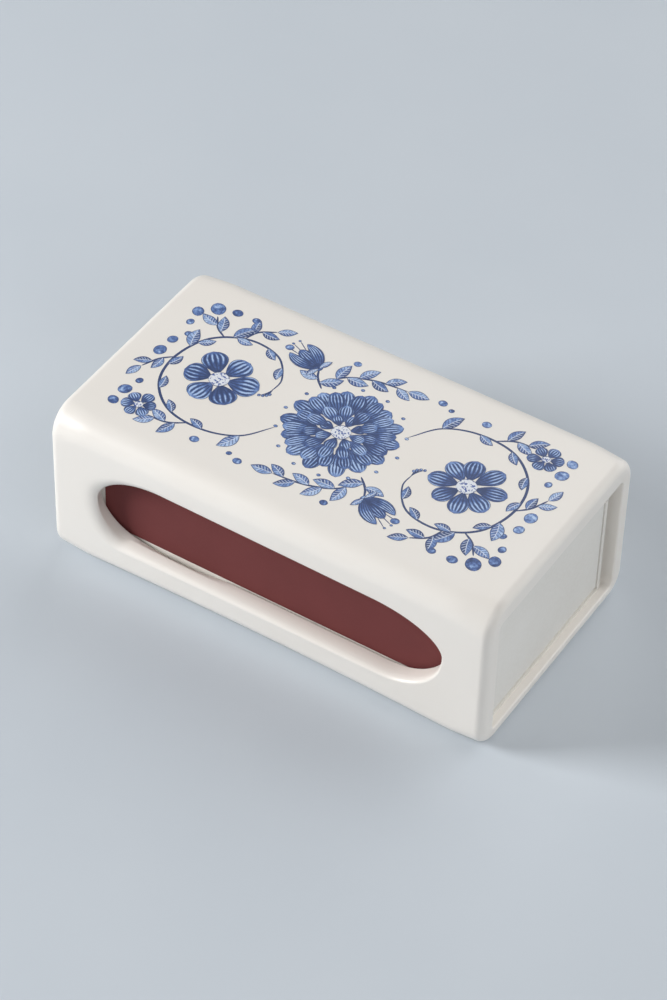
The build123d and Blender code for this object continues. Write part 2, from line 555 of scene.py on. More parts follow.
# %% Glaze material
GLAZE_LIGHT = "#F2EEE8"
GLAZE_WARM = "#EEE8E0"
BARE_CLAY = "#D9CDBC"
GLAZE_IOR = 1.5
GLAZE_ROUGHNESS, CLAY_ROUGHNESS = 0.33, 0.83
RIPPLE_SIZE = 4.0
RIPPLE_DEPTH = 0.012
DRIFT_SIZE = 35.0
WIPE_WOBBLE_SIZE = 6.0
WIPE_WOBBLE = 0.8 * MM
WIPED_BELOW, GLAZED_ABOVE = -0.3 * MM, -0.1 * MM


def glaze_material():
    """Satin white glaze over stoneware, with a bare dry foot."""
    material, tree, shader, place = new_material("satin white glaze", IOR=GLAZE_IOR)
    drift = blotches(tree, place, DRIFT_SIZE)
    height = add(tree, "ShaderNodeSeparateXYZ", (place,)).node.outputs["Z"]
    wobble = times(tree, blotches(tree, place, WIPE_WOBBLE_SIZE), WIPE_WOBBLE)
    level = add(tree, "ShaderNodeMath", (height, wobble), operation="SUBTRACT")
    bare = fade(tree, level, GLAZED_ABOVE, WIPED_BELOW)
    tint = coats(tree, colour(GLAZE_LIGHT), (drift, colour(GLAZE_WARM)), (bare, colour(BARE_CLAY)))
    surface(tree, shader, tint, blotches(tree, place, RIPPLE_SIZE, detail=2.0), RIPPLE_DEPTH)
    parts = (bare, CLAY_ROUGHNESS - GLAZE_ROUGHNESS, GLAZE_ROUGHNESS)
    roughness = add(tree, "ShaderNodeMath", parts, operation="MULTIPLY_ADD")
    tree.links.new(roughness, shader.inputs["Roughness"])
    return material


body.data.materials.clear()
body.data.materials.append(glaze_material())
body.name = "glazed_sleeve"
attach(body, "holder")
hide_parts("holder_sleeve")
print("glaze drifts over", DRIFT_SIZE, "mm")

# %% [markdown]
# ## Brushwork: the plan
# Blue-and-white ware is painted in single strokes: the loaded brush is pressed, drawn along
# and lifted. So the whole design is a list of strokes, each a centre line with a width that
# swells and tapers. Plants follow rules: petals share a circle, and leaves alternate along a
# stem and shrink toward its tip. One half is planned, and the other is the same turned by
# half a turn, with flowers of another kind.

# %% Strokes
STROKE_KINDS = {"stem": 0, "petal": 1, "leaf": 2, "berry": 3, "eye": 4}
LEVELS = 3
PLAN_SEED = 7
PATH_STEPS = 9


class Brushwork:
    """Strokes of a design in millimetres on the top face, with a turn that all new ones get."""

    def __init__(self, seed):
        self.strokes = []
        self.turned = False
        self.chance = random.Random(seed)

    def stroke(self, path, half_width, kind, layer, swell=1.0, skew=1.0):
        """One stroke. A low `swell` gives round ends, a high `skew` a late widest point."""
        self.strokes.append({
            "path": [-p if self.turned else p for p in path],
            "half_width": half_width,
            "kind": STROKE_KINDS[kind],
            "layer": layer * LEVELS + len(self.strokes) % LEVELS,
            "swell": swell,
            "skew": skew,
            "tone": self.chance.random(),
        })

    def slip(self, most):
        """Small slip of the hand, either way."""
        return self.chance.uniform(-most, most)


def polar(centre, heading, reach):
    """Place at a heading in degrees and a distance from a centre."""
    a = math.radians(heading)
    return centre + Vector((math.cos(a), math.sin(a))) * reach


def bent_path(start, heading, length, bend):
    """Path that turns steadily by `bend` degrees."""
    path = [start]
    for i in range(PATH_STEPS):
        ahead = heading + bend * (i + 0.5) / PATH_STEPS
        path.append(polar(path[-1], ahead, length / PATH_STEPS))
    return path


def smooth_path(places):
    """Smooth curve through given places."""
    spots = [Vector(place) for place in places]
    spots = [2 * spots[0] - spots[1]] + spots + [2 * spots[-1] - spots[-2]]
    path = []
    for a, b, c, d in zip(spots, spots[1:], spots[2:], spots[3:]):
        for i in range(PATH_STEPS):
            t = i / PATH_STEPS
            bend = (2 * a - 5 * b + 4 * c - d) * t * t + (3 * b - a - 3 * c + d) * t ** 3
            path.append((2 * b + (c - a) * t + bend) / 2)
    return path + [spots[-2]]


def along(path, share):
    """Place and heading in degrees at a share of a path."""
    place = share * (len(path) - 1)
    i = min(int(place), len(path) - 2)
    ahead = path[i + 1] - path[i]
    return path[i] + ahead * (place - i), math.degrees(math.atan2(ahead.y, ahead.x))


# %% Plants
STAMEN, STALK, TWIG = 0.13, 0.16, 0.3
ANTHER = 0.42
BELL_FAN = ((-30, 0.8, 12), (30, 0.8, -12), (0, 0.86, 0))
LEAF_WIDTH = 0.25
BERRY_WIDTH = 0.86
EYE_HEADING = 20
PETAL_FILL = 0.68
PETAL_STEPS = 4
PETAL_TURN_SLIP = 2.5
PETAL_SIZE_SLIP = 0.07


def stem(plan, path, half_width):
    """Thin stroke that tapers at both ends."""
    plan.stroke(path, half_width, "stem", 0, swell=0.3)


def leaf(plan, start, heading, length, bend):
    """Pointed leaf on a short stalk."""
    path = bent_path(start, heading, length, bend)
    plan.stroke(path, length * LEAF_WIDTH, "leaf", 1, swell=0.9, skew=0.9)


def berry(plan, centre, radius, heading=0):
    """Round or slightly long spot."""
    ends = [polar(centre, heading, -radius), centre, polar(centre, heading, radius)]
    plan.stroke(ends, radius * BERRY_WIDTH, "berry", 1, swell=0.5)


def stalked_berry(plan, start, heading, length, radius, bend):
    """Berry at the end of a thin curved stalk."""
    path = bent_path(start, heading, length, bend)
    stem(plan, path, STALK)
    berry(plan, polar(path[-1], heading + bend, radius * 0.8), radius, heading)


def petal_ring(plan, centre, inner, outer, count, turn, layer, skew=1.5):
    """Ring of petals that just touch at their widest."""
    half_width = math.pi * outer * PETAL_FILL / count
    for i in range(count):
        heading = turn + 360 * i / count + plan.slip(PETAL_TURN_SLIP)
        reach = outer * (1 + plan.slip(PETAL_SIZE_SLIP))
        shares = [t / PETAL_STEPS for t in range(PETAL_STEPS + 1)]
        path = [polar(centre, heading, inner + (reach - inner) * share) for share in shares]
        width = half_width * (1 + plan.slip(PETAL_SIZE_SLIP))
        plan.stroke(path, width, "petal", layer, swell=0.55, skew=skew)


def eye(plan, centre, radius):
    """Pale stippled middle of a flower."""
    ends = [polar(centre, EYE_HEADING, -radius), centre, polar(centre, EYE_HEADING, radius)]
    plan.stroke(ends, radius, "eye", 4, swell=0.5)


def daisy(plan, centre, radius, petals, turn):
    """Open flower with one ring of petals."""
    petal_ring(plan, centre, radius * 0.2, radius, petals, turn, 2)
    eye(plan, centre, radius * 0.27)


def rosette(plan, centre, radius, petals):
    """Full flower: rings of petals, each half a petal on from the last, round a stippled eye."""
    half_turn = 180 / petals
    rings = ((0.4, 1, petals, half_turn, 1, 1.7), (0.4, 0.92, petals, 0, 2, 1.7),
             (0.25, 0.66, petals - 3, half_turn, 3, 1.5), (0.15, 0.43, petals - 6, 0, 3, 1.5))
    for inner, outer, count, turn, layer, skew in rings:
        petal_ring(plan, centre, radius * inner, radius * outer, count, turn, layer, skew)
    eye(plan, centre, radius * 0.17)
    for i in range(petals):
        berry(plan, polar(centre, 360 * i / petals, radius * 1.08), radius * 0.038)


def bell(plan, base, heading, size):
    """Bell flower seen from the side: outer petals curl back over a fan of inner ones.

    Angles are in degrees from its heading, and lengths and widths are shares of its size."""
    for spread, length, bend in BELL_FAN:
        path = bent_path(base, heading + spread, size * length, bend)
        plan.stroke(path, size * 0.19, "petal", 2, swell=0.6, skew=1.4)
    for side in (-1, 1):
        path = bent_path(base, heading + side * 44, size, -side * 55)
        plan.stroke(path, size * 0.17, "petal", 3, swell=0.7, skew=1.1)
        path = bent_path(base, heading + side * 78, size * 0.42, side * 25)
        plan.stroke(path, size * 0.09, "leaf", 3, swell=0.9)
    for side in (-1, 0, 1):
        root = polar(base, heading + side * 9, size * 0.75)
        path = bent_path(root, heading + side * 12, size * 0.36, 0)
        stem(plan, path, STAMEN)
        berry(plan, polar(path[-1], heading, 0.35), ANTHER)
    berry(plan, polar(base, heading, size * 0.03), size * 0.13, heading + 90)


def leafy(plan, path, shares, length, side=1, shrink=0.1, spread=48):
    """Leaves that alternate along a stem and shrink toward its tip."""
    for i, share in enumerate(shares):
        place, heading = along(path, share)
        hand = side if i % 2 == 0 else -side
        leaf(plan, place, heading + hand * spread, length * (1 - shrink * share), -hand * 22)


def one_sided(plan, path, shares, length, side, spread):
    """Leaves on one side of a stem only."""
    for share in shares:
        place, heading = along(path, share)
        leaf(plan, place, heading + side * spread, length, -side * 30)


# %% [markdown]
# ## Brushwork: the layout
# A full rosette sits in the middle. From it a scroll runs round a flower on either side, with a
# bell flower beside it, leafy runners along the edges, and berries and a small flower at the
# ends. All of it is placed one by one, in millimetres from the middle.

# %% Layout
def berries(plan, places):
    """Loose berries from a list of (x, y, radius, heading)."""
    for x, y, radius, heading in places:
        berry(plan, Vector((x, y)), radius, heading)


def twig(plan, places, half_width=TWIG):
    """Thin stroke through given places, which gives back its path."""
    path = smooth_path(places)
    stem(plan, path, half_width)
    return path


def half_design(plan, flower_petals):
    """One half of the design: scroll, flower, bells and sprays."""
    scroll = twig(plan, ((14.5, 7.5), (20, 15), (29, 18.3), (39.5, 17), (47.3, 10), (49.4, 0),
                         (46, -10.3), (37.5, -15.6), (28, -14.5), (22.6, -8), (22.4, -2.5)), 0.36)
    one_sided(plan, scroll, (0.1, 0.55, 0.66), 6.8, 1, 46)
    one_sided(plan, scroll, (0.2, 0.29, 0.38, 0.47, 0.57, 0.67, 0.76, 0.85), 4.8, -1, 40)
    daisy(plan, Vector((35.5, 0.8)), 10, flower_petals, 12)
    for i in range(4):
        stalked_berry(plan, *along(scroll, 0.98), 1.6 + 0.7 * i, 0.5, 26 - 22 * i)

    lower = twig(plan, ((12.5, -10.5), (15.5, -13.5), (17, -16.5)), 0.32)
    bell(plan, lower[-1], -22, 9.8)
    leaf(plan, lower[5], 205, 6.4, 30)
    leaf(plan, lower[8], 10, 5.6, -25)

    runner = twig(plan, ((13.5, -12.5), (9.5, -17.5), (2.5, -20.5), (-6, -21.6)))
    leafy(plan, runner, (0.2, 0.34, 0.48, 0.62, 0.76, 0.89), 6.6, shrink=0.2, spread=42)
    leaf(plan, runner[-1], 184, 6, 0)
    berries(plan, ((9.8, -23.2, 1.1, 10), (-15.4, -22.8, 1.25, 0), (-18.6, -21.6, 0.8, 30)))

    crest = twig(plan, ((33, 18.3), (37.5, 21), (43, 21.5)))
    leafy(plan, crest, (0.3, 0.55, 0.8), 6)
    daisy(plan, Vector((46.8, 19.6)), 4.6, 6, 20)
    berries(plan, ((53, 21.6, 1.6, -30), (52.8, 16.8, 1.9, 50), (51.6, 12.3, 1.1, 70),
                   (28.4, 22.2, 1.3, 10)))

    end = twig(plan, ((49.4, 0), (52.3, 3), (54.4, 7.5)))
    leafy(plan, end, (0.35, 0.68), 5.2)
    leaf(plan, end[-1], 68, 5, 10)
    berries(plan, ((53.9, 0, 1.9, 80), (53.5, -5, 1.5, 60), (51.4, -9, 1.1, 40)))

    bud = twig(plan, ((43, -12.8), (46.5, -15), (49, -18.6)))
    leafy(plan, bud, (0.3, 0.62), 6.2, side=-1)
    berries(plan, ((50.4, -21, 2.3, -50), (54.2, -17.4, 1.8, -60), (53.6, -13, 1.2, 80),
                   (45.4, -22.4, 1.5, 0)))

    spray = twig(plan, ((38.5, -15.4), (37, -19.2), (33, -22)))
    leafy(plan, spray, (0.35, 0.62), 5.6)
    leaf(plan, spray[-1], 205, 5.2, 10)
    berries(plan, ((39.8, -22.6, 1.2, 0), (27.4, -19, 1.2, 20)))


def whole_design():
    """Both halves and the rosette between them."""
    plan = Brushwork(PLAN_SEED)
    for turned, petals in ((False, 8), (True, 6)):
        plan.turned = turned
        half_design(plan, petals)
    plan.turned = False
    rosette(plan, Vector((0, 0)), 15, 14)
    return plan


design = whole_design()
print("strokes:", len(design.strokes))


# %% [markdown]
# ## Brushwork: from plan to paint
# Each centre line becomes a ribbon. Geometry Nodes does it: it resamples the lines, works out
# a width at every point from the stroke's swell and skew, sweeps a thin diamond along them and
# drops the result on the clay with a ray, so that the paint follows the sag of the body.

# %% Centre lines as a mesh
PAINT_DROP = 5.0 * MM


def design_mesh(design):
    """All centre lines as edge chains, with each stroke's settings on its points."""
    points, edges = [], []
    names = ("half_width", "kind", "layer", "swell", "skew", "tone")
    values = {name: [] for name in names}
    for item in design.strokes:
        first = len(points)
        for p in item["path"]:
            points.append((p.x * MM, p.y * MM, HEIGHT + PAINT_DROP))
            for name in names:
                values[name].append(item[name] * (MM if name == "half_width" else 1))
        edges += [(i, i + 1) for i in range(first, len(points) - 1)]
    mesh = mesh_of("brush_plan", points, [], edges)
    for name in names:
        mesh.attributes.new(name, "FLOAT", "POINT").data.foreach_set("value", values[name])
    return mesh


# %% Geometry Nodes group for the strokes
SAMPLE_STEP = 0.45 * MM
LEAST_SAMPLES = 18
MOST_SAMPLES = 150
LEAST_WIDTH = 0.0001
PAINT_RISE = 0.006 * MM
PAINT_BODY = 0.004
DOWN = (0, 0, -1)


def new_group(name, inputs, output):
    """Geometry Nodes group with named inputs of each kind and one geometry output."""
    tree = bpy.data.node_groups.new(name, "GeometryNodeTree")
    for kind, titles in inputs.items():
        for title in titles:
            tree.interface.new_socket(title, in_out="INPUT", socket_type="NodeSocket" + kind)
    tree.interface.new_socket(output, in_out="OUTPUT", socket_type="NodeSocketGeometry")
    return tree, tree.nodes.new("NodeGroupInput").outputs


def send_out(tree, geometry, finish):
    """Makes real geometry of what a group laid, gives it its material and sends it out."""
    geometry = add(tree, "GeometryNodeRealizeInstances", {"Geometry": geometry})
    geometry = add(tree, "GeometryNodeSetMaterial", {"Geometry": geometry, "Material": finish})
    tree.links.new(geometry, tree.nodes.new("NodeGroupOutput").inputs[0])


def keep(tree, geometry, **fields):
    """Stores fields on the points under their names, for the material to read."""
    for name, value in fields.items():
        links = {"Geometry": geometry, "Name": name, "Value": value}
        geometry = add(tree, "GeometryNodeStoreNamedAttribute", links, data_type="FLOAT")
    return geometry


def brush_tree():
    """Group that turns centre lines into brush strokes on a body."""
    inputs = {"Geometry": ["Lines"], "Object": ["Body"], "Material": ["Paint"],
              "Float": ["Start height", "Sample step", "Layer rise"]}
    tree, given = new_group("brush_strokes", inputs, "Strokes")
    stored = {}
    for name in ("half_width", "layer", "swell", "skew", "reach"):
        stored[name] = add(tree, "GeometryNodeInputNamedAttribute", {"Name": name}, data_type="FLOAT")

    lines = add(tree, "GeometryNodeMeshToCurve", {"Mesh": given["Lines"]})
    samples = add(tree, "GeometryNodeSplineLength")
    limits = {"DIVIDE": given["Sample step"], "MAXIMUM": LEAST_SAMPLES, "MINIMUM": MOST_SAMPLES}
    for operation, value in limits.items():
        samples = add(tree, "ShaderNodeMath", (samples, value), operation=operation)
    lines = add(tree, "GeometryNodeResampleCurve", {"Curve": lines, "Count": samples})

    share = add(tree, "GeometryNodeSplineParameter")
    width = add(tree, "ShaderNodeMath", (share, stored["skew"]), operation="POWER")
    width = add(tree, "ShaderNodeMath", (times(tree, width, math.pi),), operation="SINE")
    width = add(tree, "ShaderNodeMath", (width, LEAST_WIDTH), operation="MAXIMUM")
    width = add(tree, "ShaderNodeMath", (width, stored["swell"]), operation="POWER")
    width = times(tree, stored["half_width"], width)
    lines = keep(tree, lines, along=share, reach=width)
    lines = add(tree, "GeometryNodeSetCurveNormal", {"Curve": lines}, mode="Z_UP")

    corners = ((1, 0, 0), (0, PAINT_BODY, 0), (-1, 0, 0), (0, -PAINT_BODY, 0))
    links = {f"Point {i + 1}": corner for i, corner in enumerate(corners)}
    section = add(tree, "GeometryNodeCurvePrimitiveQuadrilateral", links, mode="POINTS")
    place = add(tree, "GeometryNodeInputPosition")
    apart = add(tree, "ShaderNodeSeparateXYZ", (place,)).node.outputs
    section = keep(tree, section, across=apart["X"])
    links = {"Curve": lines, "Profile Curve": section, "Scale": stored["reach"], "Fill Caps": True}
    ribbons = add(tree, "GeometryNodeCurveToMesh", links)

    clay = add(tree, "GeometryNodeObjectInfo", {"Object": given["Body"]}, transform_space="ORIGINAL")
    above = add(tree, "ShaderNodeCombineXYZ", (apart["X"], apart["Y"], given["Start height"]))
    links = {"Target Geometry": clay.node.outputs["Geometry"], "Source Position": above,
             "Ray Direction": DOWN, "Ray Length": 3 * PAINT_DROP}
    hit = add(tree, "GeometryNodeRaycast", links).node.outputs["Hit Distance"]
    rise = times(tree, stored["layer"], given["Layer rise"])
    fall = add(tree, "ShaderNodeMath", (rise, hit), operation="SUBTRACT")
    drop = add(tree, "ShaderNodeCombineXYZ", {"Z": fall})
    ribbons = add(tree, "GeometryNodeSetPosition", {"Geometry": ribbons, "Offset": drop})
    ribbons = add(tree, "GeometryNodeSetShadeSmooth", {"Geometry": ribbons, "Shade Smooth": False})
    send_out(tree, ribbons, given["Paint"])
    return tree


# %% [markdown]
# ## Brushwork: the paint
# Cobalt gives a dark line where it pools at the edge of a stroke and a paler wash where it is
# thin. The material reads where it is in the stroke: `across` runs from edge to edge, `along`
# from start to lift, and `reach` is half the width. From these come the dark outline, the rays
# of the petals, the rib and veins of the leaves, and a painted highlight on the berries. It has
# the gloss of the glaze, which lies over it.

# %% Paint material
OUTLINE = 0.2 * MM
OUTLINE_WOBBLE, OUTLINE_WOBBLE_SIZE = 0.16 * MM, 0.8
WASH_SIZE, WASH_SPREAD = 1.5, 1.6
TONE_SPREAD = 0.4
MOTTLE_SIZE = 0.7
PETAL_RAYS = 2.6
RAY_EDGE, BARE_EDGE, VEIN_EDGE = (0.2, 0.75), (0.45, 0.9), (0.5, 0.9)
RAY_WOBBLE, RAY_WOBBLE_SIZE = 0.35, 2.5
RAY_RUN = (0.1, 0.3, 0.74, 0.93)
BARE_RUN = (0.35, 0.6, 0.8, 0.95)
PETAL_ROOT = 0.7
LEAF_VEINS, VEIN_SLANT, VEIN_STRENGTH = 7.0, 1.1, 0.8
RIB = 0.11 * MM
RIB_FADES, RIB_ENDS = 0.75, 0.92
RIB_EDGE = 0.06
LIGHT_HALF = 0.6
# Painted highlight on the berries: its run along each berry, its spread from the middle, and its
# strength.
PAINTED_HIGHLIGHT_RUN = (0.52, 0.62, 0.72, 0.82)
PAINTED_HIGHLIGHT_SIDE = (0.65, 0.4)
PAINTED_HIGHLIGHT_SHARE = 0.3
STIPPLE_SIZE, STIPPLE_EDGE = 0.55, (0.56, 0.6)
HALF_SHADE, ROOT_SHADE, BARE_LIGHT, RAY_SHADE = -0.45, -0.4, 0.55, -0.85
LINE_BLUE, VEIN_BLUE, PALE_BLUE = "#30426E", "#3C5084", "#DCE4F2"
STIPPLE_BLUE, STIPPLE_WHITE = "#4A62A2", "#E6E9F0"
COBALT_WASHES = (
    (0.0, "#2C3E69"), (0.3, "#40578C"), (0.55, "#5F7CB4"), (0.8, "#8CA8D6"), (1.0, "#BBD0EE"))


def stripes(tree, phase, low, high):
    """1 on stripes of a running phase, with soft edges."""
    wave = add(tree, "ShaderNodeMath", (times(tree, phase, 2 * math.pi),), operation="SINE")
    return fade(tree, wave, low, high)


def band(tree, value, limits):
    """1 on a band of a value, which starts, is full, fades and ends at four limits."""
    start, full, fades, ends = limits
    return times(tree, fade(tree, value, start, full), fade(tree, value, ends, fades))


def paint_material():
    """Cobalt strokes with dark edges, rays, ribs and veins, and a painted highlight on the berries,
    under the gloss of the glaze.
    """
    settings = {"IOR": GLAZE_IOR, "Roughness": GLAZE_ROUGHNESS}
    material, tree, shader, place = new_material("cobalt brushwork", **settings)
    along, across, reach, tone, kind = (
        add(tree, "ShaderNodeAttribute", attribute_name=name).node.outputs["Fac"]
        for name in ("along", "across", "reach", "tone", "kind"))
    is_kind = {name: add(tree, "ShaderNodeMath", (kind, number, 0.5), operation="COMPARE")
               for name, number in STROKE_KINDS.items()}

    side = add(tree, "ShaderNodeMath", (across,), operation="ABSOLUTE")
    from_middle = times(tree, side, reach)
    from_edge = add(tree, "ShaderNodeMath", (reach, from_middle), operation="SUBTRACT")
    wobble = times(tree, blotches(tree, place, OUTLINE_WOBBLE_SIZE), OUTLINE_WOBBLE)
    uneven_edge = add(tree, "ShaderNodeMath", (from_edge, wobble), operation="SUBTRACT")
    outline = fade(tree, uneven_edge, OUTLINE, 0.0)
    wash = blotches(tree, place, WASH_SIZE, detail=5.0, roughness=0.65)

    unevenness = times(tree, blotches(tree, place, RAY_WOBBLE_SIZE), RAY_WOBBLE)
    phase = add(tree, "ShaderNodeMath", (across, PETAL_RAYS, unevenness), operation="MULTIPLY_ADD")
    rays = times(tree, stripes(tree, phase, *RAY_EDGE), is_kind["petal"])
    rays = times(tree, rays, band(tree, along, RAY_RUN))
    between = add(tree, "ShaderNodeMath", (phase, 0.5), operation="ADD")
    bare = times(tree, stripes(tree, between, *BARE_EDGE), is_kind["petal"])
    bare = times(tree, bare, band(tree, along, BARE_RUN))
    deepening = times(tree, fade(tree, along, PETAL_ROOT, 0.0), is_kind["petal"])

    running = times(tree, along, LEAF_VEINS)
    slant = add(tree, "ShaderNodeMath", (side, -VEIN_SLANT, running), operation="MULTIPLY_ADD")
    inside = fade(tree, from_edge, OUTLINE, 2 * OUTLINE)
    veins = stripes(tree, slant, *VEIN_EDGE)
    veins = times(tree, veins, is_kind["leaf"], inside, VEIN_STRENGTH)
    rib = times(tree, fade(tree, from_middle, RIB, 0.5 * RIB), is_kind["leaf"],
                fade(tree, along, RIB_ENDS, RIB_FADES))
    shaded_half = fade(tree, across, -RIB_EDGE, RIB_EDGE)
    halves = add(tree, "ShaderNodeMath", (shaded_half, LIGHT_HALF), operation="SUBTRACT")
    halves = times(tree, halves, is_kind["leaf"])

    # Painted highlight: a paler spot past the middle of each berry, added to the berry's own mottle.
    painted_highlight = times(tree, band(tree, along, PAINTED_HIGHLIGHT_RUN), fade(tree, side, *PAINTED_HIGHLIGHT_SIDE))
    mottle_and_highlight = blotches(tree, place, MOTTLE_SIZE, detail=2.0)
    mottle_and_highlight = add(tree, "ShaderNodeMath", (mottle_and_highlight, 0.5), operation="SUBTRACT")
    mottle_and_highlight = add(tree, "ShaderNodeMath", (painted_highlight, PAINTED_HIGHLIGHT_SHARE, mottle_and_highlight), operation="MULTIPLY_ADD")

    value = 0.5 * (1 - WASH_SPREAD - TONE_SPREAD)
    changes = ((wash, WASH_SPREAD), (tone, TONE_SPREAD), (mottle_and_highlight, is_kind["berry"]),
               (halves, HALF_SHADE), (deepening, ROOT_SHADE), (bare, BARE_LIGHT), (rays, RAY_SHADE))
    for pattern, strength in changes:
        value = add(tree, "ShaderNodeMath", (pattern, strength, value), operation="MULTIPLY_ADD")
    washes = add(tree, "ShaderNodeValToRGB", {"Fac": value})
    stops = washes.node.color_ramp.elements
    while len(stops) < len(COBALT_WASHES):
        stops.new(0.5)
    for stop, (position, hex_value) in zip(stops, COBALT_WASHES):
        stop.position = position
        stop.color = colour(hex_value)

    vein_tint = coats(tree, colour(VEIN_BLUE), (shaded_half, colour(PALE_BLUE)))
    specks = fade(tree, blotches(tree, place, STIPPLE_SIZE, detail=1.0), *STIPPLE_EDGE)
    stippled = coats(tree, colour(STIPPLE_WHITE), (specks, colour(STIPPLE_BLUE)))
    dark = add(tree, "ShaderNodeMath", (outline, is_kind["stem"]), operation="MAXIMUM")
    surface(tree, shader, coats(tree, washes, (veins, vein_tint), (rib, colour(PALE_BLUE)),
                                (is_kind["eye"], stippled), (dark, colour(LINE_BLUE))))
    return material


# %% Paint the design
def run_tree(piece, tree, **settings):
    """Runs a Geometry Nodes tree on a piece and keeps what it makes as the piece's mesh."""
    modifier = piece.modifiers.new(tree.name, "NODES")
    modifier.node_group = tree
    for item in tree.interface.items_tree:
        key = item.name.replace(" ", "_").lower()
        if item.in_out == "INPUT" and key in settings:
            modifier[item.identifier] = settings[key]
    apply_modifiers(piece)


brushwork = put_in_scene("brushwork", design_mesh(design))
run_tree(brushwork, brush_tree(), body=body, paint=paint_material(), start_height=HEIGHT + PAINT_DROP,
         sample_step=SAMPLE_STEP, layer_rise=PAINT_RISE)
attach(brushwork, "holder")
print("brushwork:", len(brushwork.data.polygons), "faces")


# %% [markdown]
# ## Finishes of the matchbox
# The cover and the tray are white-lined card. Its face is matt and fibrous, and where it was
# cut its grey recycled core shows. The striking strips are red phosphorus in glue with ground
# glass: red-brown, dead matt and gritty.

# %% Card and striker materials
CARD_ROUGHNESS = 0.78
FIBRE_SIZE, FIBRE_DEPTH = 0.9, 0.02
FIBRE_STRETCH = (0.35, 1.0, 1.0)
SOILING_SIZE = 18.0
STRIKER_ROUGHNESS = 0.88
GRIT_SIZE, GRIT_DEPTH = 0.35, 0.06
GRIT_EDGE = (0.55, 0.75)
COAT_DRIFT_SIZE = 14.0


def card_material(name, face_hex, worn_hex):
    """White-lined card with short fibres and a little soiling."""
    material, tree, shader, place = new_material(name, Roughness=CARD_ROUGHNESS)
    fibres = blotches(tree, place, FIBRE_SIZE, detail=6.0, stretch=FIBRE_STRETCH)
    soiling = times(tree, fibres, blotches(tree, place, SOILING_SIZE))
    tint = coats(tree, colour(face_hex), (soiling, colour(worn_hex)))
    surface(tree, shader, tint, fibres, FIBRE_DEPTH)
    return material


def striker_material():
    """Gritty striking compound, rolled on in a dense pattern of tiny dots."""
    settings = {"Roughness": STRIKER_ROUGHNESS}
    material, tree, shader, place = new_material("striking compound", **settings)
    grit = blotches(tree, place, GRIT_SIZE, detail=4.0, roughness=0.7)
    drift = blotches(tree, place, COAT_DRIFT_SIZE)
    tint = coats(tree, colour("#6E302F"), (drift, colour("#622928")),
                 (fade(tree, grit, *GRIT_EDGE), colour("#753B35")))
    surface(tree, shader, tint, grit, GRIT_DEPTH)
    return material


def dress(material, *nodes):
    """Gives CAD nodes their material."""
    for node in nodes:
        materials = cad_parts[node].data.materials
        materials.clear()
        materials.append(material)


dress(card_material("white lined card", "#EDEAE4", "#DAD5CC"), "matchbox_cover")
dress(card_material("white tray card", "#E9E7E2", "#D8D4CC"), "matchbox_tray")
dress(striker_material(), "front_striker", "back_striker")
print("card fibres", FIBRE_SIZE, "mm, grit", GRIT_SIZE, "mm")

# %% [markdown]
# ## Matches
# A match is a square aspen splint, waxed at one end and dipped in a paste that dries to a
# rounded head. The tray holds rows of them with the heads all one way; the heads are thicker
# than the sticks, so each layer leans more than the one below. Geometry Nodes lays the pile:
# the place and lean of each match follow from its number, and a seeded jitter keeps the rows
# from looking machined.

# %% One stick and one head
TRAY_LOW, TRAY_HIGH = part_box("matchbox_tray")
CARD = 0.6 * MM
WELL_FLOOR = TRAY_LOW.z + CARD
WELL_WIDTH = TRAY_HIGH.y - TRAY_LOW.y - 2 * CARD
END_PLAY = 0.8 * MM
MATCH_LENGTH = WELL_WIDTH - 2 * END_PLAY
TAIL_Y = TRAY_LOW.y + CARD + END_PLAY
STICK_SIDE = 2.3 * MM
STICK_BEVEL = 0.15 * MM
HEAD_SIDE = 3.0 * MM
HEAD_LENGTH = 5.0 * MM
HEAD_TIP = 0.6 * MM
HEAD_AROUND, HEAD_RINGS = 16, 9
HEAD_SWELL_START, HEAD_SWELL_END = 0.16, 0.985
HEAD_FULLNESS = 0.42
SQUARE_BEHIND, SQUARE_TIP = 0.55, 0.1
SQUARE_TRIM = 0.16


def stick_mesh():
    """Square stick along +Y with eased edges, its tail end at zero."""
    made = bmesh.new()
    length = MATCH_LENGTH - HEAD_TIP
    size = Matrix.Diagonal((STICK_SIDE, length, STICK_SIDE, 1))
    place = Matrix.Translation((0, length / 2, 0))
    bmesh.ops.create_cube(made, size=1, matrix=place @ size)
    bmesh.ops.bevel(made, geom=made.edges[:], offset=STICK_BEVEL, segments=1, affect="EDGES")
    mesh = bpy.data.meshes.new("stick")
    made.to_mesh(mesh)
    made.free()
    return mesh


def head_mesh():
    """Dried bulb: square behind, where it grips the stick, and round at its tip."""
    points = []
    for i in range(HEAD_RINGS + 1):
        t = i / HEAD_RINGS
        y = MATCH_LENGTH - HEAD_LENGTH * (1 - t)
        share = min(HEAD_SWELL_START + (1 - HEAD_SWELL_START) * t, HEAD_SWELL_END)
        swell = math.sin(math.pi * share) ** HEAD_FULLNESS
        squareness = SQUARE_BEHIND + (SQUARE_TIP - SQUARE_BEHIND) * t
        for j in range(HEAD_AROUND):
            a = 2 * math.pi * j / HEAD_AROUND
            c, s = math.cos(a), math.sin(a)
            reach = 1 / max(abs(c), abs(s)) * squareness + 1 - squareness
            reach *= HEAD_SIDE / 2 * swell / (1 + SQUARE_TRIM * squareness)
            points.append((c * reach, y, s * reach))
    mesh = mesh_of("head", points, ring_faces(HEAD_RINGS + 1, HEAD_AROUND))
    mesh.shade_smooth()
    return mesh


# %% Geometry Nodes group for the pile
MATCH_PITCH = 3.3 * MM
LAYER_GAP = 0.1 * MM
LAYERS = 5
MATCHES_PER_LAYER = 34
PILE_SEED = 3
JITTER = 0.12 * MM
END_JITTER = 4.0
ROLL_JITTER = 0.05
TURN_JITTER = 0.003


